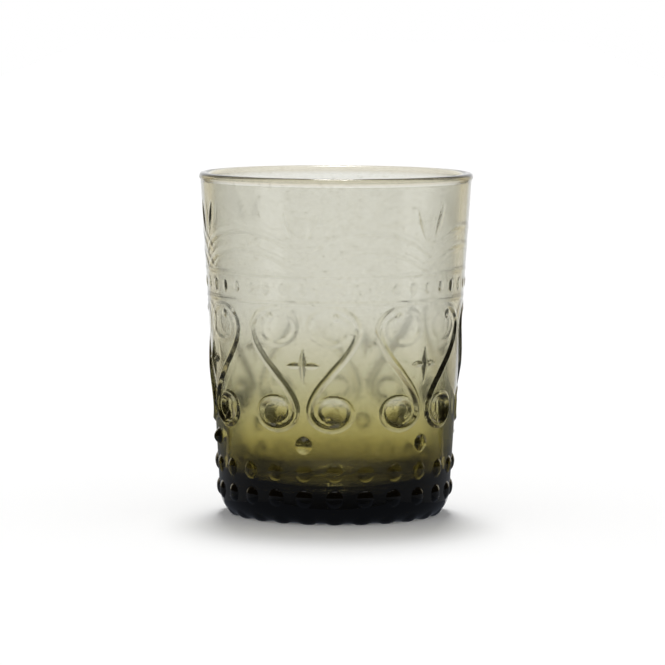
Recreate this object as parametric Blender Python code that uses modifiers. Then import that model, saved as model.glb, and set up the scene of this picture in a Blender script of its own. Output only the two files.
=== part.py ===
"""Pressed-glass tumbler with an embossed wall, as one piece of glass, in metres with +Z up.

The glass stands on Z = 0 and is turned about the Z axis. The wall is a plain turned shell. The relief that
the mould leaves on it is made of low bosses and bars, part sunk in the wall, and one union joins them to it.
Places on the wall are written flat, as an arc length u across and a height z, and wrapped round its cone.
"""

import math

import bmesh
import bpy
from mathutils import Matrix, Vector

MM = 0.001

# Overall form
HEIGHT = 100.0 * MM
RIM_DIAMETER = 80.0 * MM
FOOT_DIAMETER = 66.4 * MM  # the wall's slope carried down to Z = 0
WALL_AT_RIM = 3.1 * MM
WALL_AT_FLOOR = 4.0 * MM
RIM_OVERHANG = 0.3 * MM  # how far the fire-polished rim stands outside the wall
RIM_INSET = 0.1 * MM  # and inside it
BASE_THICKNESS = 10.4 * MM
FLOOR_FILLET = 3.0 * MM
HEEL_RADIUS = 6.0 * MM
FOOT_RING_WIDTH = 4.0 * MM
FOOT_RECESS = 0.7 * MM
RECESS_SLOPE_WIDTH = 1.5 * MM

# Repeats of the relief, and where the first motif faces, with 0 facing -Y and more turning towards +X
MOTIF_COUNT = 6
MOTIF_TURN = math.radians(-15.0)
BEAD_COUNT = 24
PEARL_COUNT = 42

# Two rows of beads above the lobes of the heel
BEAD_WIDTH = 4.8 * MM
BEAD_PROUD = 0.8 * MM
LOWER_BEADS_HEIGHT = 7.8 * MM
UPPER_BEADS_HEIGHT = 15.3 * MM
LOBE_WIDTH = 6.6 * MM
LOBE_LENGTH = 5.0 * MM
LOBE_PROUD = 0.85 * MM
LOBE_CLEARANCE = 0.15 * MM  # left under the lobes, so that the glass stands on its flat foot ring

# Scroll pair of each motif: a foot spiral, a stem and a head spiral on either side of its axis
STROKE_WIDTH = 2.1 * MM
STROKE_PROUD = 0.85 * MM
FOOT_SPIRAL_OFFSET = 8.5 * MM  # from the motif's axis
FOOT_SPIRAL_HEIGHT = 33.0 * MM
FOOT_SPIRAL_HALF_WIDTH = 6.5 * MM
FOOT_SPIRAL_HALF_RISE = 5.3 * MM
HEAD_SPIRAL_OFFSET = 8.5 * MM
HEAD_SPIRAL_HEIGHT = 57.0 * MM
HEAD_SPIRAL_HALF_WIDTH = 7.8 * MM
HEAD_SPIRAL_HALF_RISE = 6.0 * MM
SPIRAL_TURN = math.radians(430.0)
SPIRAL_SHRINK = 0.40  # share of its radius that a spiral loses over its length
STEM_REACH = 8.0 * MM  # how far the stem holds the direction of each spiral

# Drop below each scroll pair and flower inside it
DROP_WIDTH = 5.2 * MM
DROP_PROUD = 0.9 * MM
DROP_HEIGHT = 23.4 * MM
FLOWER_HEIGHT = 46.4 * MM
FLOWER_SPAN = 11.6 * MM
FLOWER_BLADE = 2.4 * MM
FLOWER_PROUD = 0.65 * MM

# Pearl band between two lines, measured down from the rim
BAND_DROP = 31.7 * MM
BAND_WIDTH = 8.0 * MM
LINE_WIDTH = 1.1 * MM
LINE_PROUD = 0.4 * MM
PEARL_WIDTH = 2.7 * MM
PEARL_PROUD = 0.55 * MM

# Arches between the motifs and the leaf pairs above them, measured down from the rim
LOWER_ARCH_DROP = 20.4 * MM
UPPER_ARCH_DROP = 15.1 * MM
ARCH_RISE = 7.0 * MM
ARCH_GAP = 2.0 * MM  # between the feet of neighbouring arches
LEAF_DROP = 12.6 * MM
LEAF_OFFSET = 3.6 * MM
LEAF_LENGTH = 10.5 * MM
LEAF_WIDTH = 2.6 * MM
LEAF_PROUD = 0.6 * MM
LEAF_LEAN = math.radians(18.0)

# Steps that the round forms are cut into
TURN_STEPS = 48
RIM_STEPS = 7
HEEL_STEPS = 5
FILLET_STEPS = 3
SPIRAL_STEPS = 13
STEM_STEPS = 4
ARCH_STEPS = 6
BOSS_STEPS = 8
SMALL_BOSS_STEPS = 6
PEARL_STEPS = 5
BOSS_RINGS = 3
LINE_SIDES = 4
WELD = 0.000001  # points this close are one point

GLASS_COLOUR = (0.36, 0.35, 0.22, 1.0)
GLASS_ROUGHNESS = 0.03
GLASS_IOR = 1.52


def clear_scene():
    for obj in list(bpy.data.objects):
        bpy.data.objects.remove(obj, do_unlink=True)


def new_collection(name):
    collection = bpy.data.collections.new(name)
    bpy.context.scene.collection.children.link(collection)
    return collection


def wall_radius(z):
    """Radius of the plain outer wall at height z."""
    foot = FOOT_DIAMETER / 2
    rim = RIM_DIAMETER / 2 - RIM_OVERHANG
    return foot + (rim - foot) * z / HEIGHT


def wall_lean():
    return math.atan2(wall_radius(HEIGHT) - wall_radius(0), HEIGHT)


def arc(centre, radius, start, end, steps):
    """Points (r, z) round a circle from one angle to another, both ends included."""
    angles = [start + (end - start) * i / steps for i in range(steps + 1)]
    return [(centre[0] + radius * math.cos(a), centre[1] + radius * math.sin(a)) for a in angles]


def corner_centre(plane_z, radius, radius_at, lean):
    """Centre (r, z) of a round corner that touches a level plane and a leaning wall that stands on it."""
    centre_z = plane_z + radius
    return (radius_at(centre_z) - radius / math.cos(lean), centre_z)


def heel_centre():
    return corner_centre(0.0, HEEL_RADIUS, wall_radius, wall_lean())


def glass_profile():
    """Half section (r, z): up the outside from the foot, over the rim, down the inside to the floor."""
    rim_radius = (WALL_AT_RIM + RIM_OVERHANG + RIM_INSET) / 2
    rim_centre = (RIM_DIAMETER / 2 - rim_radius, HEIGHT - rim_radius)
    inner_rim = rim_centre[0] - rim_radius + RIM_INSET
    inner_floor = wall_radius(BASE_THICKNESS) - WALL_AT_FLOOR
    inner_slope = (inner_rim - inner_floor) / (rim_centre[1] - BASE_THICKNESS)

    def inner_radius(z):
        return inner_floor + inner_slope * (z - BASE_THICKNESS)

    inner_lean = math.atan(inner_slope)
    heel = arc(heel_centre(), HEEL_RADIUS, -math.pi / 2, -wall_lean(), HEEL_STEPS)
    outer_side = -math.acos((wall_radius(rim_centre[1]) - rim_centre[0]) / rim_radius)
    inner_side = 2 * math.pi - math.acos((inner_rim - rim_centre[0]) / rim_radius)
    rim = arc(rim_centre, rim_radius, outer_side, inner_side, RIM_STEPS)
    fillet_centre = corner_centre(BASE_THICKNESS, FLOOR_FILLET, inner_radius, inner_lean)
    floor = arc(fillet_centre, FLOOR_FILLET, -inner_lean, -math.pi / 2, FILLET_STEPS)

    ring_inner = heel[0][0] - FOOT_RING_WIDTH
    foot = [(0.0, FOOT_RECESS), (ring_inner - RECESS_SLOPE_WIDTH, FOOT_RECESS), (ring_inner, 0.0)]
    return foot + heel + rim + floor + [(0.0, BASE_THICKNESS)]


def turned_glass(name, collection):
    """The plain glass, turned from its half section, which runs down its outer side."""
    points = [(r, 0.0, z) for r, z in reversed(glass_profile())]
    mesh = bpy.data.meshes.new(name)
    mesh.from_pydata(points, [(i, i + 1) for i in range(len(points) - 1)], [])
    glass = bpy.data.objects.new(name, mesh)
    collection.objects.link(glass)
    screw = glass.modifiers.new("turn", "SCREW")
    screw.axis = "Z"
    screw.steps = TURN_STEPS
    screw.render_steps = TURN_STEPS
    screw.use_merge_vertices = True
    screw.merge_threshold = WELD
    screw.use_smooth_shade = True
    return glass


def wall_point(u, z, turn, depth):
    """Point under the wall's surface, at arc length u from the direction turn and at height z."""
    radius = wall_radius(z)
    angle = turn + u / radius
    return Vector(((radius - depth) * math.sin(angle), -(radius - depth) * math.cos(angle), z))


def surface_frame(point, angle, lean):
    """Frame on a turned surface: X across it, Y up it and Z out of it, where it leans out by lean."""
    turn = Matrix.Rotation(angle, 4, "Z")
    return Matrix.Translation(point) @ turn @ Matrix.Rotation(math.pi / 2 + lean, 4, "X")


def wall_frame(u, z, turn):
    angle = turn + u / wall_radius(z)
    return surface_frame(wall_point(u, z, turn, 0.0), angle, wall_lean())


def boss_mesh(name, width, length, proud, steps):
    """Half-sunk oval boss, with its X across, Y along and Z standing proud."""
    mesh = bpy.data.meshes.new(name)
    shape = bmesh.new()
    bmesh.ops.create_uvsphere(shape, u_segments=steps, v_segments=BOSS_RINGS, radius=1.0)
    bmesh.ops.scale(shape, vec=(width / 2, length / 2, proud), verts=shape.verts)
    shape.to_mesh(mesh)
    shape.free()
    mesh.shade_smooth()
    return mesh


def place(mesh, frame, relief):
    piece = bpy.data.objects.new(mesh.name, mesh)
    relief.objects.link(piece)
    piece.matrix_world = frame
    piece.hide_render = True
    piece.display_type = "WIRE"


def bar_mesh(name, points, width, proud):
    """Round bar through points that lie at bar_depth under the surface, so that it shows as wide as width."""
    curve = bpy.data.curves.new(name, "CURVE")
    curve.dimensions = "3D"
    curve.bevel_depth = bar_radius(width, proud)
    curve.bevel_resolution = 0
    curve.use_fill_caps = True
    spline = curve.splines.new("POLY")
    spline.points.add(len(points) - 1)
    for spline_point, point in zip(spline.points, points):
        spline_point.co = (*point, 1.0)
    bar = bpy.data.objects.new(name, curve)
    bpy.context.scene.collection.objects.link(bar)
    evaluated = bar.evaluated_get(bpy.context.evaluated_depsgraph_get())
    mesh = bpy.data.meshes.new_from_object(evaluated)
    mesh.name = name
    bpy.data.objects.remove(bar, do_unlink=True)
    shape = bmesh.new()
    shape.from_mesh(mesh)
    bmesh.ops.remove_doubles(shape, verts=shape.verts, dist=WELD)
    shape.to_mesh(mesh)
    shape.free()
    mesh.shade_smooth()
    return mesh


def bar_radius(width, proud):
    return (width * width / 4 + proud * proud) / (2 * proud)


def bar_depth(width, proud):
    return bar_radius(width, proud) - proud


def motif_turns():
    return [i * 2 * math.pi / MOTIF_COUNT for i in range(MOTIF_COUNT)]


def spiral(offset, height, half_width, half_rise, start):
    """Points (u, z) of an oval spiral that winds inwards, turning to the left from the angle start."""
    points = []
    for i in range(SPIRAL_STEPS + 1):
        share = i / SPIRAL_STEPS
        angle = start + SPIRAL_TURN * share
        size = 1.0 - SPIRAL_SHRINK * share
        across = size * half_width * math.cos(angle)
        up = size * half_rise * math.sin(angle)
        points.append((offset + across, height + up))
    return points


def stem(foot, head):
    """Points (u, z) of the stem between its two spirals, both ends left out, upright at either end."""
    controls = (foot, (foot[0], foot[1] + STEM_REACH), (head[0], head[1] - STEM_REACH), head)
    points = []
    for i in range(1, STEM_STEPS):
        t = i / STEM_STEPS
        weights = ((1 - t) ** 3, 3 * t * (1 - t) ** 2, 3 * t * t * (1 - t), t ** 3)
        points.append(tuple(sum(w * c[axis] for w, c in zip(weights, controls)) for axis in range(2)))
    return points


def scroll_line():
    """One scroll (u, z), from the tip of its foot spiral up the stem to the tip of its head spiral."""
    foot_size = (FOOT_SPIRAL_HALF_WIDTH, FOOT_SPIRAL_HALF_RISE)
    head_size = (HEAD_SPIRAL_HALF_WIDTH, HEAD_SPIRAL_HALF_RISE)
    foot = spiral(FOOT_SPIRAL_OFFSET, FOOT_SPIRAL_HEIGHT, *foot_size, math.pi)
    head = spiral(HEAD_SPIRAL_OFFSET, HEAD_SPIRAL_HEIGHT, *head_size, 0.0)
    return foot[::-1] + stem(foot[0], head[0]) + head


def add_scrolls(relief):
    depth = bar_depth(STROKE_WIDTH, STROKE_PROUD)
    for side in (-1, 1):
        points = [wall_point(side * u, z, MOTIF_TURN, depth) for u, z in scroll_line()]
        mesh = bar_mesh("scroll", points, STROKE_WIDTH, STROKE_PROUD)
        for turn in motif_turns():
            place(mesh, Matrix.Rotation(turn, 4, "Z"), relief)


def add_arches(relief):
    """Two arches in each gap between motifs, which spring from the axes of the motifs on either side."""
    gap = MOTIF_TURN + math.pi / MOTIF_COUNT
    depth = bar_depth(LINE_WIDTH, LINE_PROUD)
    for drop in (LOWER_ARCH_DROP, UPPER_ARCH_DROP):
        crown = HEIGHT - drop
        half_span = wall_radius(crown) * math.pi / MOTIF_COUNT - ARCH_GAP / 2
        radius = (half_span ** 2 + ARCH_RISE ** 2) / (2 * ARCH_RISE)
        half_angle = 2 * math.atan2(ARCH_RISE, half_span)
        ends = (math.pi / 2 - half_angle, math.pi / 2 + half_angle)
        line = arc((0.0, crown - radius), radius, *ends, ARCH_STEPS)
        points = [wall_point(u, z, gap, depth) for u, z in line]
        mesh = bar_mesh("arch", points, LINE_WIDTH, LINE_PROUD)
        for turn in motif_turns():
            place(mesh, Matrix.Rotation(turn, 4, "Z"), relief)


def add_band(relief):
    """Pearls between two thin lines that run right round the wall."""
    middle = HEIGHT - BAND_DROP
    for z in (middle - BAND_WIDTH / 2, middle + BAND_WIDTH / 2):
        bpy.ops.mesh.primitive_torus_add(
            major_radius=wall_radius(z) - bar_depth(LINE_WIDTH, LINE_PROUD),
            minor_radius=bar_radius(LINE_WIDTH, LINE_PROUD),
            major_segments=TURN_STEPS,
            minor_segments=LINE_SIDES,
        )
        line = bpy.context.object
        line.data.name = "band_line"
        line.data.shade_smooth()
        place(line.data, Matrix.Translation((0.0, 0.0, z)), relief)
        bpy.data.objects.remove(line, do_unlink=True)
    pearl = boss_mesh("pearl", PEARL_WIDTH, PEARL_WIDTH, PEARL_PROUD, PEARL_STEPS)
    for i in range(PEARL_COUNT):
        place(pearl, wall_frame(0.0, middle, MOTIF_TURN + i * 2 * math.pi / PEARL_COUNT), relief)


def add_beads(relief):
    bead = boss_mesh("bead", BEAD_WIDTH, BEAD_WIDTH, BEAD_PROUD, BOSS_STEPS)
    for z in (LOWER_BEADS_HEIGHT, UPPER_BEADS_HEIGHT):
        for i in range(BEAD_COUNT):
            place(bead, wall_frame(0.0, z, MOTIF_TURN + i * 2 * math.pi / BEAD_COUNT), relief)


def lobe_tilt():
    """Angle down the round heel at which a lobe just clears the plane that the glass stands on."""
    low, high = 0.0, math.pi / 2
    for _ in range(40):
        tilt = (low + high) / 2
        reach = math.hypot(LOBE_LENGTH / 2 * math.cos(tilt), LOBE_PROUD * math.sin(tilt))
        if HEEL_RADIUS * (1 - math.sin(tilt)) - reach > LOBE_CLEARANCE:
            low = tilt
        else:
            high = tilt
    return low


def add_lobes(relief):
    """Lobes on the round heel, one under each bead."""
    tilt = lobe_tilt()
    lobe = boss_mesh("lobe", LOBE_WIDTH, LOBE_LENGTH, LOBE_PROUD, SMALL_BOSS_STEPS)
    radius = heel_centre()[0] + HEEL_RADIUS * math.cos(tilt)
    z = heel_centre()[1] - HEEL_RADIUS * math.sin(tilt)
    for i in range(BEAD_COUNT):
        angle = MOTIF_TURN + i * 2 * math.pi / BEAD_COUNT
        point = Vector((radius * math.sin(angle), -radius * math.cos(angle), z))
        place(lobe, surface_frame(point, angle, tilt), relief)


def add_motif_bosses(relief):
    """Drop, flower and leaf pair on the axis of each motif."""
    drop = boss_mesh("drop", DROP_WIDTH, DROP_WIDTH, DROP_PROUD, BOSS_STEPS)
    blade = boss_mesh("blade", FLOWER_BLADE, FLOWER_SPAN, FLOWER_PROUD, SMALL_BOSS_STEPS)
    leaf = boss_mesh("leaf", LEAF_WIDTH, LEAF_LENGTH, LEAF_PROUD, SMALL_BOSS_STEPS)
    for turn in motif_turns():
        axis = MOTIF_TURN + turn
        place(drop, wall_frame(0.0, DROP_HEIGHT, axis), relief)
        flower = wall_frame(0.0, FLOWER_HEIGHT, axis)
        for spin in (0.0, math.pi / 2):
            place(blade, flower @ Matrix.Rotation(spin, 4, "Z"), relief)
        for side in (-1, 1):
            frame = wall_frame(side * LEAF_OFFSET, HEIGHT - LEAF_DROP, axis)
            place(leaf, frame @ Matrix.Rotation(-side * LEAF_LEAN, 4, "Z"), relief)


def pressed_glass():
    material = bpy.data.materials.new("smoke_olive_glass")
    material.use_nodes = True
    shader = material.node_tree.nodes["Principled BSDF"]
    shader.inputs["Base Color"].default_value = GLASS_COLOUR
    shader.inputs["Roughness"].default_value = GLASS_ROUGHNESS
    shader.inputs["Metallic"].default_value = 0.0
    shader.inputs["IOR"].default_value = GLASS_IOR
    shader.inputs["Transmission Weight"].default_value = 1.0
    material.diffuse_color = GLASS_COLOUR
    return material


def main():
    clear_scene()
    tumbler = new_collection("tumbler")
    relief = new_collection("relief")
    glass = turned_glass("tumbler_glass", tumbler)
    add_beads(relief)
    add_lobes(relief)
    add_scrolls(relief)
    add_motif_bosses(relief)
    add_band(relief)
    add_arches(relief)
    union = glass.modifiers.new("relief", "BOOLEAN")
    union.operation = "UNION"
    union.operand_type = "COLLECTION"
    union.collection = relief
    union.solver = "EXACT"
    glass.data.materials.append(pressed_glass())


main()
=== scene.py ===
"""Looks of the pressed-glass tumbler: a finely embossed glass in place of its plain solid, in a studio.

The glass is one closed mesh. Its half section is turned about Z, and the relief of the mould is raised on
its outside as heights over the flat pattern: u is the arc length from a motif's axis, and z the height
above the table.
"""

import math

import bpy
import numpy as np
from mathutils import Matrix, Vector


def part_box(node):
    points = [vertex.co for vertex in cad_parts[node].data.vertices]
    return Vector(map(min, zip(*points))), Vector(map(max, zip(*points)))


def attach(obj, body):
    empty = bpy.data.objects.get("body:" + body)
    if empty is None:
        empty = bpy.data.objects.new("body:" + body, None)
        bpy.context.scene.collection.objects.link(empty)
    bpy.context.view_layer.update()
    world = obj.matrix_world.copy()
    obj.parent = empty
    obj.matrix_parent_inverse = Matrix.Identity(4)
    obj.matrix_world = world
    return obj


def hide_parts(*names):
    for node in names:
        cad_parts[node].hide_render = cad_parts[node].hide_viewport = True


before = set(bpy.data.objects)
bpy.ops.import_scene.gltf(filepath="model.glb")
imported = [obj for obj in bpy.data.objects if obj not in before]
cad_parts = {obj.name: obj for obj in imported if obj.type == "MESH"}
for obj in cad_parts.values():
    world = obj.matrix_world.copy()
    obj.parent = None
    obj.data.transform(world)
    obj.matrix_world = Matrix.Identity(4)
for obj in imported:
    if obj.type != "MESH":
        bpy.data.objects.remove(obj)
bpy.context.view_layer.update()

MM = 0.001
GLASS_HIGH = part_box("tumbler_glass")[1]

# Section of the glass
HEIGHT = GLASS_HIGH[2]
RIM_RADIUS = GLASS_HIGH[0]
FOOT_RADIUS = 33.2 * MM  # the wall's slope carried down to Z = 0
RIM_OVERHANG = 0.3 * MM
RIM_THICKNESS = 2.9 * MM
RIM_CREST = 1.5 * MM  # from the top down to where the lip is widest
RIM_UNDERSIDE = 1.1 * MM
RIM_SQUARENESS = 0.78  # 1 for a round lip, and less for a flatter one
WALL_AT_FLOOR = 3.4 * MM
BASE_THICKNESS = 8.6 * MM
FLOOR_FILLET = 7.0 * MM
HEEL_TOP = 7.5 * MM
HEEL_LIFT = 0.5 * MM  # of the heel above the table, between the lobes
HEEL_FOOT_RADIUS = 29.3 * MM
FOOT_RING = (23.6 * MM, 27.6 * MM)  # radii of the part that stands on the table
FOOT_RECESS = 0.7 * MM
RECESS_SLOPE_WIDTH = 1.5 * MM

# Repeats of the relief: angle 0 faces -Y, and more turns towards +X
MOTIF_COUNT = 6
BEAD_COUNT = 24
PEARL_COUNT = 42
MOTIF_TURN = math.radians(-15.0)
HALF_MOTIF = math.pi / MOTIF_COUNT
BEAD_PITCH = math.tau / BEAD_COUNT
PEARL_PITCH = math.tau / PEARL_COUNT

# Relief, in the flat pattern. A softness of 0.5 makes a half round, and more a gentler foot
BEAD_HALF_WIDTH = 2.5 * MM
BEAD_PROUD = 0.85 * MM
BEAD_SOFTNESS = 0.7
BEAD_ROWS = (7.8 * MM, 15.3 * MM)
LOBE_HALF_WIDTH = 3.6 * MM
LOBE_HALF_LENGTH = 4.0 * MM
LOBE_PROUD = 0.6 * MM
LOBE_SOFTNESS = 1.25
DROP_HALF_WIDTH = 2.5 * MM
DROP_PROUD = 1.65 * MM
DROP_SOFTNESS = 1.0
DROP_HEIGHT = 23.4 * MM
STROKE_HALF_WIDTH = 1.2 * MM
STROKE_PROUD = {  # by the length along a scroll, from the tip of its foot spiral
    22 * MM: 0.5 * MM,
    36 * MM: 0.9 * MM,
    48 * MM: 0.85 * MM,
    60 * MM: 0.65 * MM,
    66 * MM: 0.35 * MM,
    74 * MM: 0.08 * MM,
}
STROKE_POWER = {38 * MM: 1.5, 54 * MM: 1.25}  # by the same length: 2 is a round crest, and 1 a sharp one
STROKE_TIP = 0.75  # share of its width that a scroll keeps at its tips
STROKE_TAPER = 0.2  # share of its length over which it slims to each tip
FOOT_SPIRAL = (8.5 * MM, 33.0 * MM, 6.5 * MM, 5.3 * MM)  # u, z, half width, half rise
HEAD_SPIRAL = (8.5 * MM, 57.0 * MM, 7.8 * MM, 6.0 * MM)
SPIRAL_TURN = math.radians(430.0)
SPIRAL_SHRINK = 0.42  # share of its size that a spiral loses on its way in
STEM_REACH = 8.0 * MM  # how far the stem follows a spiral's direction
TIP_HALF_WIDTH = 1.5 * MM
TIP_PROUD = (0.55 * MM, 0.28 * MM)  # at the foot and at the head
TIP_SOFTNESS = 1.25
DISH_DEPTH = 1.65 * MM  # of the hollow inside a foot spiral
DISH_REACH = 0.82  # of the spiral's half width and half rise
DISH_LIFT = 1.3 * MM  # of its deepest point above the spiral's middle
DISH_POWER = 1.4  # 2 is a round bowl, and 1 a cone
FLOWER_HEIGHT = 46.4 * MM
PETAL_LENGTHS = (6.0 * MM, 5.0 * MM)  # upright and across
PETAL_HALF_WIDTHS = (1.5 * MM, 1.0 * MM)
PETAL_SLOPES = (0.66, 0.78)  # of the flanks that meet in a petal's crest
BAND_LINES = (64.3 * MM, 72.3 * MM)
LINE_HALF_WIDTH = 0.8 * MM
LINE_PROUD = 0.12 * MM
RIDGE_SOFTNESS = 1.4  # of the band lines and the arches
PEARL_HEIGHT = 68.3 * MM
PEARL_HALF_WIDTH = 1.35 * MM
PEARL_HALF_RISE = 1.75 * MM
PEARL_PROUD = 0.25 * MM
PEARL_SOFTNESS = 0.9
ARCH_CROWNS = (79.6 * MM, 84.9 * MM)
ARCH_RISE = 7.0 * MM
ARCH_HALF_WIDTH = 1.3 * MM
ARCH_PROUD = 0.11 * MM
LEAF_PLACE = (3.6 * MM, 87.4 * MM)
LEAF_HALF_LENGTH = 5.4 * MM
LEAF_HALF_WIDTH = 1.15 * MM
LEAF_LEAN = math.radians(18.0)
LEAF_PROUD = 0.3 * MM
LEAF_SOFTNESS = 1.1

# Fineness of the mesh, and of the lines that the relief follows
COLUMNS = 840
ROW_STEP = 0.3 * MM
FILLET_STEP = 0.4 * MM
SLOPE_STEP = 0.04 * MM  # over which the slope of the relief is measured
LINE_ROWS = 7
LINE_CLEARANCE = 1.3 * LINE_HALF_WIDTH  # round a band line, where only its own rows run
HEEL_SAMPLES = 400
UNDERSIDE_STEPS = 5
LIP_STEPS = 32
INNER_WALL_STEPS = 13
CUP_FLOOR_STEPS = 5
SPIRAL_POINTS = 48
STEM_STEPS = 25

# Directions at each column of the mesh
COLUMN_ANGLES = MOTIF_TURN + np.arange(COLUMNS) * math.tau / COLUMNS
OUTWARDS = np.stack([np.sin(COLUMN_ANGLES), -np.cos(COLUMN_ANGLES), np.zeros(COLUMNS)], axis=-1)
SIDEWAYS = np.stack([np.cos(COLUMN_ANGLES), np.sin(COLUMN_ANGLES), np.zeros(COLUMNS)], axis=-1)
UPWARDS = np.array([0.0, 0.0, 1.0])


def linear(hex_colour):
    """Linear RGBA of an sRGB hex colour."""
    parts = [int(hex_colour[i:i + 2], 16) / 255 for i in (1, 3, 5)]
    return tuple(c / 12.92 if c <= 0.04045 else ((c + 0.055) / 1.055) ** 2.4 for c in parts) + (1.0,)


def add_node(tree, kind, inputs=None, **settings):
    """Adds a node with its settings, and sets its inputs or links them to other nodes' outputs."""
    made = tree.nodes.new(kind)
    for name, value in settings.items():
        setattr(made, name, value)
    for name, value in (inputs or {}).items():
        if isinstance(value, bpy.types.NodeSocket):
            tree.links.new(value, made.inputs[name])
        else:
            made.inputs[name].default_value = value
    return made


def set_stops(ramp, stops):
    """Gives a colour ramp its stops, as positions from 0 to 1 with sRGB hex colours."""
    while len(ramp.elements) > 1:
        ramp.elements.remove(ramp.elements[-1])
    for place, colour in stops:
        ramp.elements.new(place).color = linear(colour)
    ramp.elements.remove(ramp.elements[0])


def wall_radius(z):
    """Radius of the plain wall at a height, without its relief and the lip's overhang."""
    rim = RIM_RADIUS - RIM_OVERHANG
    return FOOT_RADIUS + (rim - FOOT_RADIUS) * z / HEIGHT


WALL_LEAN = math.atan2(wall_radius(HEIGHT) - wall_radius(0), HEIGHT)


def lengths(points):
    """Length along a line of points up to each of them."""
    return np.concatenate([[0.0], np.cumsum(np.hypot(*np.diff(points, axis=0).T))])


def arc(centre, radius, start, end, step):
    """Points (r, z) round a circle, about step apart, with both ends."""
    count = max(2, int(abs(end - start) * radius / step) + 2)
    angles = np.linspace(start, end, count)
    return np.column_stack([centre[0] + radius * np.cos(angles), centre[1] + radius * np.sin(angles)])


def dome(u, z, half_width, half_length, softness):
    """Oval boss: 1 on its crown, falling to 0 at its edge."""
    return np.clip(1.0 - (u / half_width) ** 2 - (z / half_length) ** 2, 0.0, None) ** softness


def ridge(distance, half_width):
    """Round line: 1 on its crest, with a small soft foot at half_width."""
    return np.clip(1.0 - (distance / half_width) ** 2, 0.0, None) ** RIDGE_SOFTNESS


def spiral(place, start):
    """Points (u, z) of an oval spiral that winds inwards to the left from the angle start."""
    u, z, half_width, half_rise = place
    share = np.linspace(0.0, 1.0, SPIRAL_POINTS)
    angle = start + SPIRAL_TURN * share
    size = 1.0 - SPIRAL_SHRINK * share
    return np.column_stack([u + size * half_width * np.cos(angle), z + size * half_rise * np.sin(angle)])


def scroll_line():
    """One scroll (u, z), from the tip of its foot spiral up the stem to the tip of its head spiral."""
    foot = spiral(FOOT_SPIRAL, math.pi)
    head = spiral(HEAD_SPIRAL, 0.0)
    controls = np.array([foot[0], foot[0] + (0.0, STEM_REACH), head[0] - (0.0, STEM_REACH), head[0]])
    t = np.linspace(0.0, 1.0, STEM_STEPS + 1)[1:-1, None]
    weights = np.hstack([(1 - t) ** 3, 3 * t * (1 - t) ** 2, 3 * t * t * (1 - t), t ** 3])
    return np.vstack([foot[::-1], weights @ controls, head])


def scroll_height(u, z, line):
    """Height of a scroll's stroke, slim at both tips and faint in its head spiral."""
    length = lengths(line)
    from_tip = np.minimum(length, length[-1] - length) / (STROKE_TAPER * length[-1])
    half = STROKE_HALF_WIDTH * (STROKE_TIP + (1.0 - STROKE_TIP) * np.clip(from_tip, 0.0, 1.0))
    proud = np.interp(length, list(STROKE_PROUD), list(STROKE_PROUD.values()))
    power = np.interp(length, list(STROKE_POWER), list(STROKE_POWER.values()))
    height = np.zeros(np.broadcast(u, z).shape)
    for k in range(len(line) - 1):
        across, up = line[k + 1] - line[k]
        from_u, from_z = u - line[k, 0], z - line[k, 1]
        t = np.clip((from_u * across + from_z * up) / (across ** 2 + up ** 2), 0.0, 1.0)
        distance = np.hypot(from_u - t * across, from_z - t * up)
        reach = half[k] + t * (half[k + 1] - half[k])
        crest = proud[k] + t * (proud[k + 1] - proud[k])
        height = np.maximum(height, crest * np.clip(1.0 - (distance / reach) ** power[k], 0.0, None))
    return height


def dish(u, z, place):
    """Hollow inside a spiral: 1 at its deepest, above the middle, and 0 from the stroke outwards."""
    centre_u, centre_z, half_width, half_rise = place
    deepest = centre_z + DISH_LIFT
    rise = DISH_REACH * half_rise + np.where(z > deepest, -DISH_LIFT, DISH_LIFT)
    reach = np.hypot((u - centre_u) / (DISH_REACH * half_width), (z - deepest) / rise)
    return np.clip(1.0 - reach ** DISH_POWER, 0.0, None)


def flower(u, z):
    """Four sharp-crested petals: upright ones, widest in the middle, and slim drops across."""
    upright = np.clip(1.0 - np.abs(z) / PETAL_LENGTHS[0], 0.0, None) * PETAL_HALF_WIDTHS[0]
    across = np.sin(math.pi * np.clip(np.abs(u) / PETAL_LENGTHS[1], 0.0, 1.0)) * PETAL_HALF_WIDTHS[1]
    upright = PETAL_SLOPES[0] * np.clip(upright - np.abs(u), 0.0, None)
    across = PETAL_SLOPES[1] * np.clip(across - np.abs(z), 0.0, None)
    return np.maximum(upright, across)


def leaf(u, z):
    """One leaf of a pair that spreads from the motif's axis."""
    along = z * math.cos(LEAF_LEAN) + u * math.sin(LEAF_LEAN)
    across = u * math.cos(LEAF_LEAN) - z * math.sin(LEAF_LEAN)
    return dome(across, along, LEAF_HALF_WIDTH, LEAF_HALF_LENGTH, LEAF_SOFTNESS)


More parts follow.
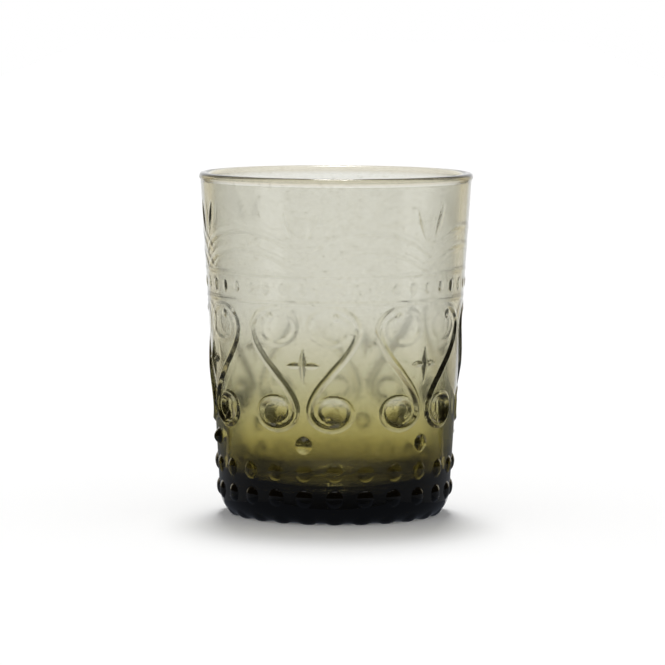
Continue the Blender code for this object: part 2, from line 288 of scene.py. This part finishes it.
def relief(angle, z, climb):
    """Height of the relief over the wall, at an angle off a motif's axis and a height z.

    The angle runs from 0 to HALF_MOTIF. climb is the outline's length up from the foot, and only the lobes
    use it.
    """
    radius = wall_radius(z)
    u = angle * radius
    line = scroll_line()
    layers = [scroll_height(u, z, line)]
    for tip, proud in zip((line[0], line[-1]), TIP_PROUD):
        layers.append(proud * dome(u - tip[0], z - tip[1], TIP_HALF_WIDTH, TIP_HALF_WIDTH, TIP_SOFTNESS))
    for k in range(BEAD_COUNT // (2 * MOTIF_COUNT) + 1):
        across = (angle - k * BEAD_PITCH) * radius
        layers.append(LOBE_PROUD * dome(across, climb, LOBE_HALF_WIDTH, LOBE_HALF_LENGTH, LOBE_SOFTNESS))
        for row in BEAD_ROWS:
            bead = dome(across, z - row, BEAD_HALF_WIDTH, BEAD_HALF_WIDTH, BEAD_SOFTNESS)
            layers.append(BEAD_PROUD * bead)
    layers.append(DROP_PROUD * dome(u, z - DROP_HEIGHT, DROP_HALF_WIDTH, DROP_HALF_WIDTH, DROP_SOFTNESS))
    layers.append(flower(u, z - FLOWER_HEIGHT))
    for height in BAND_LINES:
        layers.append(LINE_PROUD * ridge(z - height, LINE_HALF_WIDTH))
    for k in range(PEARL_COUNT // (2 * MOTIF_COUNT) + 1):
        across = (angle - k * PEARL_PITCH) * radius
        pearl = dome(across, z - PEARL_HEIGHT, PEARL_HALF_WIDTH, PEARL_HALF_RISE, PEARL_SOFTNESS)
        layers.append(PEARL_PROUD * pearl)
    from_gap = (HALF_MOTIF - angle) * radius
    half_span = HALF_MOTIF * radius
    bow = (half_span ** 2 + ARCH_RISE ** 2) / (2 * ARCH_RISE)
    for crown in ARCH_CROWNS:
        distance = np.hypot(from_gap, z - crown + bow) - bow
        above_its_foot = z > crown - ARCH_RISE - LINE_HALF_WIDTH
        layers.append(ARCH_PROUD * ridge(distance, ARCH_HALF_WIDTH) * above_its_foot)
    layers.append(LEAF_PROUD * leaf(u - LEAF_PLACE[0], z - LEAF_PLACE[1]))
    return np.maximum.reduce(np.broadcast_arrays(*layers)) - DISH_DEPTH * dish(u, z, FOOT_SPIRAL)


def rim_section():
    """Half section (r, z) of the lip, from under its overhang over the top to its inner edge."""
    crest = HEIGHT - RIM_CREST
    under = np.linspace(crest - RIM_UNDERSIDE, crest, UNDERSIDE_STEPS + 1)[:-1]
    share = (under - under[0]) / RIM_UNDERSIDE
    swell = RIM_OVERHANG * share * share * (3 - 2 * share)
    half = RIM_THICKNESS / 2
    turn = np.linspace(0.0, math.pi, LIP_STEPS + 1)
    across = np.sign(np.cos(turn)) * np.abs(np.cos(turn)) ** RIM_SQUARENESS
    up = np.sin(turn) ** RIM_SQUARENESS
    lip = np.column_stack([RIM_RADIUS - half + half * across, crest + RIM_CREST * up])
    return np.vstack([np.column_stack([wall_radius(under) + swell, under]), lip])


def inner_section(inner_rim):
    """Half section (r, z) of the inside, from below the lip down to near the floor's middle."""
    inner_floor = wall_radius(BASE_THICKNESS) - WALL_AT_FLOOR
    slope = (inner_rim[0] - inner_floor) / (inner_rim[1] - BASE_THICKNESS)
    lean = math.atan(slope)
    fillet_z = BASE_THICKNESS + FLOOR_FILLET
    fillet_r = inner_floor + slope * FLOOR_FILLET - FLOOR_FILLET / math.cos(lean)
    fillet = arc((fillet_r, fillet_z), FLOOR_FILLET, -lean, -math.pi / 2, FILLET_STEP)
    wall = np.linspace(inner_rim, fillet[0], INNER_WALL_STEPS + 1)[1:-1]
    floor = np.linspace(fillet[-1], (0.0, BASE_THICKNESS), CUP_FLOOR_STEPS + 1)[1:-1]
    return np.vstack([wall, fillet, floor])


def heel_rows():
    """Points (r, z) up the heel's quarter oval, a row step apart, and the lean of its surface at each."""
    out = wall_radius(HEEL_TOP) - HEEL_FOOT_RADIUS
    drop = HEEL_TOP - HEEL_LIFT
    fine = np.linspace(math.pi / 2, 0.0, HEEL_SAMPLES)
    fine_length = lengths(np.column_stack([out * np.cos(fine), -drop * np.sin(fine)]))
    even_length = np.linspace(0.0, fine_length[-1], int(fine_length[-1] / ROW_STEP) + 1)
    turn = np.interp(even_length, fine_length, fine)
    points = np.column_stack([HEEL_FOOT_RADIUS + out * np.cos(turn), HEEL_TOP - drop * np.sin(turn)])
    lean = np.maximum(np.arctan2(np.sin(turn) / drop, np.cos(turn) / out), WALL_LEAN)
    return points, lean


def wall_heights(top):
    """Heights of the rows up the wall, with rows of their own for the band lines."""
    even = np.arange(HEEL_TOP + ROW_STEP, top - ROW_STEP / 2, ROW_STEP)
    from_line = np.min(np.abs(even[:, None] - np.array(BAND_LINES)), axis=1)
    across_line = np.linspace(-LINE_HALF_WIDTH, LINE_HALF_WIDTH, LINE_ROWS)
    on_lines = [line + across_line for line in BAND_LINES]
    return np.sort(np.concatenate([even[from_line > LINE_CLEARANCE], *on_lines]))


def outer_rows(rim_edge):
    """Outline of the outside below the rim: points (r, z), outward normals and the length up to each."""
    heel, heel_lean = heel_rows()
    heights = wall_heights(rim_edge[1])
    points = np.vstack([heel, np.column_stack([wall_radius(heights), heights])])
    lean = np.concatenate([heel_lean, np.full(len(heights), WALL_LEAN)])
    normals = np.column_stack([np.cos(lean), -np.sin(lean)])
    return points, normals, lengths(points)


def turned(section):
    """Rings (row, column, xyz) of points or directions (r, z) turned about Z."""
    return section[:, 0, None, None] * OUTWARDS + section[:, 1, None, None] * UPWARDS


def raised_outside(points, normals, climb):
    """Rings of the embossed outside, with a normal at each point: arrays (row, column, xyz)."""
    sector = COLUMNS // MOTIF_COUNT
    in_sector = np.arange(COLUMNS) % sector
    folded = np.minimum(in_sector, sector - in_sector)
    mirrored = np.where(in_sector <= sector // 2, 1.0, -1.0)
    angle = np.arange(sector // 2 + 1) * math.tau / COLUMNS
    z = points[:, 1, None]
    climb = climb[:, None]
    turn = SLOPE_STEP / points[:, 0, None]
    height = relief(angle, z, climb)
    across = relief(np.abs(angle + turn), z, climb) - relief(np.abs(angle - turn), z, climb)
    above = relief(angle, z + SLOPE_STEP, climb + SLOPE_STEP)
    below = relief(angle, z - SLOPE_STEP, climb - SLOPE_STEP)
    slope_across = across[:, folded] * mirrored / (2 * SLOPE_STEP)
    slope_along = (above - below)[:, folded] / (2 * SLOPE_STEP)
    normal = turned(normals)
    tangent = turned(np.column_stack([-normals[:, 1], normals[:, 0]]))
    place = turned(points) + height[:, folded, None] * normal
    slanted = normal - slope_across[..., None] * SIDEWAYS - slope_along[..., None] * tangent
    return place, slanted / np.linalg.norm(slanted, axis=-1, keepdims=True)


def set_normals(mesh, first, normals):
    """Gives a stretch of the vertices the true normals of the relief, and leaves the others."""
    all_normals = np.empty(len(mesh.vertices) * 3, np.float32)
    mesh.vertex_normals.foreach_get("vector", all_normals)
    all_normals = all_normals.reshape(-1, 3)
    all_normals[first:first + len(normals)] = normals
    mesh.normals_split_custom_set_from_vertices(all_normals.tolist())


def glass_mesh():
    """The whole glass as one closed mesh, from the middle of its underside to the middle of its floor."""
    rim = rim_section()
    inside = inner_section(rim[-1])
    outside, outside_normals = raised_outside(*outer_rows(rim[0]))
    outside[..., 2] = np.maximum(outside[..., 2], 0.0)
    recess_edge = (FOOT_RING[0] - RECESS_SLOPE_WIDTH, FOOT_RECESS)
    under = np.array([recess_edge, (FOOT_RING[0], 0.0), (FOOT_RING[1], 0.0)])
    rings = np.vstack([turned(under), outside, turned(rim), turned(inside)])
    rows = len(rings)
    middles = [(0.0, 0.0, FOOT_RECESS), (0.0, 0.0, BASE_THICKNESS)]
    vertices = np.vstack([rings.reshape(-1, 3), middles])
    row, column = np.meshgrid(np.arange(rows - 1), np.arange(COLUMNS), indexing="ij")
    here = row * COLUMNS + column
    beside = row * COLUMNS + (column + 1) % COLUMNS
    quads = np.stack([here, beside, beside + COLUMNS, here + COLUMNS], axis=-1).reshape(-1, 4)
    first_ring = np.arange(COLUMNS)
    last_ring = first_ring + (rows - 1) * COLUMNS
    bottom = np.column_stack([np.roll(first_ring, -1), first_ring, np.full(COLUMNS, rows * COLUMNS)])
    top = np.column_stack([last_ring, np.roll(last_ring, -1), np.full(COLUMNS, rows * COLUMNS + 1)])
    mesh = bpy.data.meshes.new("embossed_glass")
    mesh.from_pydata(vertices.tolist(), [], quads.tolist() + bottom.tolist() + top.tolist())
    mesh.shade_smooth()
    set_normals(mesh, len(under) * COLUMNS, outside_normals.reshape(-1, 3))
    return mesh


# Sockets of a mix node, given by number because several have the same name
AMOUNT = 0
NUMBER_A, NUMBER_B = 2, 3
COLOUR_A, COLOUR_B = 6, 7
MIXED_NUMBER, MIXED_COLOUR = 0, 2

# Looks of the glass
WHITE = linear("#FFFFFF")
GLASS_IOR = 1.52  # soda-lime glass
ABSORPTION_COLOUR = linear("#B7B488")
ABSORPTION_DENSITY = 84.0
OUTSIDE_ROUGHNESS = 0.05  # fire-polished
INSIDE_ROUGHNESS = 0.15  # as the plunger leaves it
# Bounds of the outside, which alone gets the painted shade and the outer polish
OUTSIDE_DEPTH = 0.62 * RIM_THICKNESS  # behind the plain wall, where the outside is taken to end
OUTSIDE_FOOT_TOP = BASE_THICKNESS / 2  # below it, all of the glass is outside
# Painted shade: the outside darkens from pale smoke through olive to near black at the base, and the lip is
# painted tan
PAINTED_SHADE_STOPS = (  # height and colour painted on the outside
    (7.0 * MM, "#100F0D"),
    (9.6 * MM, "#100F0C"),
    (10.6 * MM, "#28230F"),
    (11.5 * MM, "#3D3717"),
    (13.0 * MM, "#524A22"),
    (15.5 * MM, "#635A29"),
    (18.0 * MM, "#918541"),
    (23.0 * MM, "#C0B56C"),
    (30.0 * MM, "#C1BA87"),
    (38.0 * MM, "#D4D1B1"),
    (46.0 * MM, "#E4E1CC"),
    (58.0 * MM, "#F3F3EE"),
    (97.4 * MM, "#F3F3EE"),
    (98.2 * MM, "#E5DECB"),
    (99.2 * MM, "#E0D7BF"),
    (99.7 * MM, "#C3B693"),
)
# Streaks and seeds in the painted colour, as long and as high as they show on the real wall
STREAK_LENGTH = 1.5 * MM
STREAK_RISE = 1.0 * MM
STREAK_DETAIL = 2.0
STREAK_STOPS = (  # by the noise's value, from bare to a seed
    (0.45, "#FFFFFF"),
    (0.64, "#F8F7F4"),
    (0.69, "#F3F2ED"),
    (0.76, "#C8C6BE"),
)


def painted_shade_and_streaks(tree, place, height):
    """Painted shade: near black at the base, then olive, then pale smoke, with streaks and seeds."""
    share = add_node(tree, "ShaderNodeMath", {0: height, 1: HEIGHT}, operation="DIVIDE")
    painted_shade = add_node(tree, "ShaderNodeValToRGB", {"Fac": share.outputs[0]})
    set_stops(painted_shade.color_ramp, [(stop / HEIGHT, colour) for stop, colour in PAINTED_SHADE_STOPS])
    fineness = (1 / STREAK_LENGTH, 1 / STREAK_LENGTH, 1 / STREAK_RISE)
    stretched = add_node(tree, "ShaderNodeMapping", {"Vector": place, "Scale": fineness})
    noise = add_node(
        tree, "ShaderNodeTexNoise",
        {"Vector": stretched.outputs[0], "Scale": 1.0, "Detail": STREAK_DETAIL},
    )
    streaks = add_node(tree, "ShaderNodeValToRGB", {"Fac": noise.outputs["Fac"]})
    set_stops(streaks.color_ramp, STREAK_STOPS)
    streaked = add_node(
        tree, "ShaderNodeMix",
        {AMOUNT: 1.0, COLOUR_A: painted_shade.outputs["Color"], COLOUR_B: streaks.outputs["Color"]},
        data_type="RGBA", blend_type="MULTIPLY",
    )
    return streaked.outputs[MIXED_COLOUR]


def outside_share(tree, parts):
    """1 on the outside of the glass and 0 on its inside, parted by a cone that runs within the wall."""
    level = add_node(tree, "ShaderNodeCombineXYZ", {"X": parts.outputs["X"], "Y": parts.outputs["Y"]})
    radius = add_node(tree, "ShaderNodeVectorMath", {0: level.outputs[0]}, operation="LENGTH")
    cone = add_node(
        tree, "ShaderNodeMath",
        {0: parts.outputs["Z"], 1: math.tan(WALL_LEAN), 2: FOOT_RADIUS - OUTSIDE_DEPTH},
        operation="MULTIPLY_ADD",
    )
    on_wall = add_node(
        tree, "ShaderNodeMath", {0: radius.outputs["Value"], 1: cone.outputs[0]}, operation="GREATER_THAN",
    )
    on_foot = add_node(
        tree, "ShaderNodeMath", {0: parts.outputs["Z"], 1: OUTSIDE_FOOT_TOP}, operation="LESS_THAN",
    )
    either = add_node(
        tree, "ShaderNodeMath", {0: on_wall.outputs[0], 1: on_foot.outputs[0]}, operation="MAXIMUM",
    )
    return either.outputs[0]


def pressed_soda_glass():
    """Smoke-tinted soda-lime glass, pressed and fire-polished.

    It is clear and glossy, with dark lines where its relief bends the light. Painted shade darkens its
    outside towards a near-black base, and the lip is painted tan.
    """
    material = bpy.data.materials.new("pressed_soda_glass")
    material.use_nodes = True
    tree = material.node_tree
    tree.nodes.clear()
    place = add_node(tree, "ShaderNodeTexCoord").outputs["Object"]
    parts = add_node(tree, "ShaderNodeSeparateXYZ", {"Vector": place})
    outside = outside_share(tree, parts)
    # Painted shade and streaks on the outside, white inside
    painted_shade = add_node(
        tree, "ShaderNodeMix",
        {AMOUNT: outside, COLOUR_A: WHITE, COLOUR_B: painted_shade_and_streaks(tree, place, parts.outputs["Z"])},
        data_type="RGBA",
    )
    polish = add_node(
        tree, "ShaderNodeMix", {AMOUNT: outside, NUMBER_A: INSIDE_ROUGHNESS, NUMBER_B: OUTSIDE_ROUGHNESS},
    )
    shader = add_node(tree, "ShaderNodeBsdfPrincipled", {
        "Base Color": painted_shade.outputs[MIXED_COLOUR],
        "Roughness": polish.outputs[MIXED_NUMBER],
        "IOR": GLASS_IOR,
        "Transmission Weight": 1.0,
    })
    volume = add_node(
        tree, "ShaderNodeVolumeAbsorption", {"Color": ABSORPTION_COLOUR, "Density": ABSORPTION_DENSITY},
    )
    add_node(
        tree, "ShaderNodeOutputMaterial",
        {"Surface": shader.outputs["BSDF"], "Volume": volume.outputs["Volume"]},
    )
    return material


def add_glass():
    """The embossed glass, in place of the plain solid."""
    glass = bpy.data.objects.new("embossed_glass", glass_mesh())
    bpy.context.scene.collection.objects.link(glass)
    glass.data.materials.append(pressed_soda_glass())
    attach(glass, "root")
    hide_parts("tumbler_glass")


# Studio
PAPER_COLOUR = "#FCFCFC"
PAPER_HALF_WIDTH = 400.0 * MM
PAPER_HALF_ARM = 100.0 * MM  # of the two strips that reach out sideways
PAPER_REACH = 6000.0 * MM
CARD_COLOUR = "#66686C"
CARD_HEIGHT = 0.5 * MM
CARDS = {  # corners (x, y) in millimetres
    "left_card": ((-17, 47), (-43, 25), (-260, 150), (-103, 282)),
    "right_card": ((17, 47), (43, 25), (260, 150), (103, 282)),
    "front_card": ((-250, -250), (250, -250), (250, -40), (-250, -40)),
    "front_card_left": ((-250, -40), (-40, -40), (-40, 50), (-250, 50)),
    "front_card_right": ((40, -40), (250, -40), (250, 50), (40, 50)),
}
FLOOR_WHITE = linear(PAPER_COLOUR)[0]
FILL_SHARE = 0.45  # of the light on the floor, from all round and mostly low
FILL_AT_HORIZON = 3 * FILL_SHARE / FLOOR_WHITE  # fading with the sine of the elevation, to 0 overhead
KEY_SHARES = {58: 0.06, 66: 0.19, 74: 0.24, 82: 0.09}  # from behind, by elevation in degrees
KEY_SPREAD = math.radians(14.0)
# Colours of the room round the glass, by degrees from the backdrop's middle, more towards +X
ROOM_STOPS = {
    -62: "#383022",
    -54: "#383022",
    -45: "#E2D6B6",
    -36: "#F4EAD2",
    -29: "#F1E9D4",
    -22: "#FFFFFF",
    22: "#FFFFFF",
    29: "#F1E9D4",
    36: "#F4EAD2",
    45: "#E2D6B6",
    54: "#383022",
    62: "#383022",
}
# The same below the horizon, with a low softbox on either side and a darker front between them
LOW_STOPS = ROOM_STOPS | {
    -138: "#141416",
    -131: "#FFFFFF",
    -112: "#FFFFFF",
    -105: "#383022",
    92: "#383022",
    98: "#FFFFFF",
    117: "#FFFFFF",
    124: "#141416",
}
LOW_ELEVATIONS = (-2, -4)  # degrees between which the lower colours take over
# Colours that take over from both, between two elevations in degrees
ROOM_LEVELS = (
    (25, 44, "#40382A"),
    (55, 62, "#FFFFFF"),
    (-11.5, -13.5, "#4E525A"),
)


def matt_card(name, colour):
    """Uncoated paper or card: its fibres scatter the light evenly, so it shows its colour and no gloss."""
    material = bpy.data.materials.new(name)
    material.use_nodes = True
    shader = material.node_tree.nodes["Principled BSDF"]
    shader.inputs["Base Color"].default_value = linear(colour)
    shader.inputs["Roughness"].default_value = 1.0
    shader.inputs["Specular IOR Level"].default_value = 0.0
    return material


def add_flat_stage(name, corners, material):
    """Flat stage piece with the corners (x, y, z)."""
    mesh = bpy.data.meshes.new(name)
    mesh.from_pydata(corners, [], [tuple(range(len(corners)))])
    mesh.materials.append(material)
    piece = bpy.data.objects.new(name, mesh)
    bpy.context.scene.collection.objects.link(piece)
    return piece


def add_floor():
    """White paper under the glass, as a cross of two strips, which the glass doesn't mirror."""
    quarter = [
        (PAPER_HALF_WIDTH, PAPER_REACH),
        (PAPER_HALF_WIDTH, PAPER_HALF_ARM),
        (PAPER_REACH, PAPER_HALF_ARM),
    ]
    half = quarter + [(x, -y) for x, y in reversed(quarter)]
    outline = half + [(-x, y) for x, y in reversed(half)]
    corners = [(x, y, 0.0) for x, y in reversed(outline)]
    floor = add_flat_stage("paper_floor", corners, matt_card("matt_paper", PAPER_COLOUR))
    floor.visible_glossy = False


def add_cards():
    """Grey cards on the table, seen by the glass alone.

    The two behind it draw its lower edges, and the three in front and beside it are mirrored in its base.
    """
    material = matt_card("grey_card", CARD_COLOUR)
    for name, outline in CARDS.items():
        card = add_flat_stage(name, [(x * MM, y * MM, CARD_HEIGHT) for x, y in outline], material)
        card.visible_camera = False
        card.visible_diffuse = False
        card.visible_shadow = False
        card.visible_transmission = not name.startswith("front")


def room_colour(tree, way):
    """What the glass sees in a direction: a white backdrop, softboxes low and overhead, and a dim room."""
    turn = add_node(tree, "ShaderNodeMath", {0: way.outputs["X"], 1: way.outputs["Y"]}, operation="ARCTAN2")
    share = add_node(
        tree, "ShaderNodeMath", {0: turn.outputs[0], 1: 1 / math.tau, 2: 0.5}, operation="MULTIPLY_ADD",
    )
    rings = []
    for stops in (ROOM_STOPS, LOW_STOPS):
        ring = add_node(tree, "ShaderNodeValToRGB", {"Fac": share.outputs[0]})
        set_stops(ring.color_ramp, [(degrees / 360 + 0.5, stops[degrees]) for degrees in sorted(stops)])
        rings.append(ring.outputs["Color"])
    room, low_room = rings
    levels = [(*LOW_ELEVATIONS, low_room)]
    levels += [(start, end, linear(colour)) for start, end, colour in ROOM_LEVELS]
    for start, end, colour in levels:
        amount = add_node(tree, "ShaderNodeMapRange", {
            "Value": way.outputs["Z"],
            "From Min": math.sin(math.radians(start)),
            "From Max": math.sin(math.radians(end)),
        })
        mixed = add_node(
            tree, "ShaderNodeMix",
            {AMOUNT: amount.outputs[0], COLOUR_A: room, COLOUR_B: colour},
            data_type="RGBA",
        )
        room = mixed.outputs[MIXED_COLOUR]
    return room


def add_studio_light():
    """White for the camera, the room's colours for the glass, and a soft low fill for the floor."""
    world = bpy.data.worlds.new("studio")
    bpy.context.scene.world = world
    world.use_nodes = True
    world.cycles.sampling_method = "NONE"
    tree = world.node_tree
    tree.nodes.clear()
    path = add_node(tree, "ShaderNodeLightPath")
    place = add_node(tree, "ShaderNodeTexCoord")
    way = add_node(tree, "ShaderNodeSeparateXYZ", {"Vector": place.outputs["Generated"]})
    fill = add_node(
        tree, "ShaderNodeMapRange", {"Value": way.outputs["Z"], "To Min": FILL_AT_HORIZON, "To Max": 0.0},
    )
    past_floor = add_node(
        tree, "ShaderNodeMath", {0: path.outputs["Diffuse Depth"], 1: 1.0}, operation="MINIMUM",
    )
    seen = add_node(
        tree, "ShaderNodeMix",
        {AMOUNT: past_floor.outputs[0], COLOUR_A: room_colour(tree, way), COLOUR_B: fill.outputs[0]},
        data_type="RGBA",
    )
    shown = add_node(
        tree, "ShaderNodeMix",
        {AMOUNT: path.outputs["Is Camera Ray"], COLOUR_A: seen.outputs[MIXED_COLOUR], COLOUR_B: WHITE},
        data_type="RGBA",
    )
    light = add_node(tree, "ShaderNodeBackground", {"Color": shown.outputs[MIXED_COLOUR], "Strength": 1.0})
    add_node(tree, "ShaderNodeOutputWorld", {"Surface": light.outputs["Background"]})


def add_key_light():
    """Strip of soft light from above and behind, whose shadow falls towards the camera."""
    for degrees, share in KEY_SHARES.items():
        elevation = math.radians(degrees)
        lamp = bpy.data.lights.new("key_light", "SUN")
        lamp.angle = KEY_SPREAD
        lamp.energy = share * math.pi / (FLOOR_WHITE * math.sin(elevation))
        holder = bpy.data.objects.new("key_light", lamp)
        bpy.context.scene.collection.objects.link(holder)
        holder.rotation_euler = (elevation - math.pi / 2, 0.0, 0.0)


# Camera: a long lens, a little above the rim
CAMERA_DISTANCE = 1300.0 * MM
CAMERA_HEIGHT = 168.0 * MM
CAMERA_NEAREST = 50.0 * MM
AIM = (-0.85 * MM, 0.0, 52.95 * MM)
LENS = 241.4  # in millimetres, as is the sensor
SENSOR_WIDTH = 36.0
ROLL = math.radians(0.25)


def add_camera():
    """The camera that the picture is taken with."""
    camera = bpy.data.cameras.new("camera")
    camera.lens = LENS
    camera.sensor_width = SENSOR_WIDTH
    camera.clip_start = CAMERA_NEAREST
    holder = bpy.data.objects.new("camera", camera)
    bpy.context.scene.collection.objects.link(holder)
    holder.location = (AIM[0], -CAMERA_DISTANCE, CAMERA_HEIGHT)
    pitch = math.atan2(CAMERA_HEIGHT - AIM[2], CAMERA_DISTANCE)
    holder.rotation_mode = "ZXY"
    holder.rotation_euler = (math.pi / 2 - pitch, 0.0, ROLL)
    bpy.context.scene.camera = holder


bpy.context.scene.view_settings.view_transform = "Standard"
add_glass()
add_floor()
add_cards()
add_studio_light()
add_key_light()
add_camera()
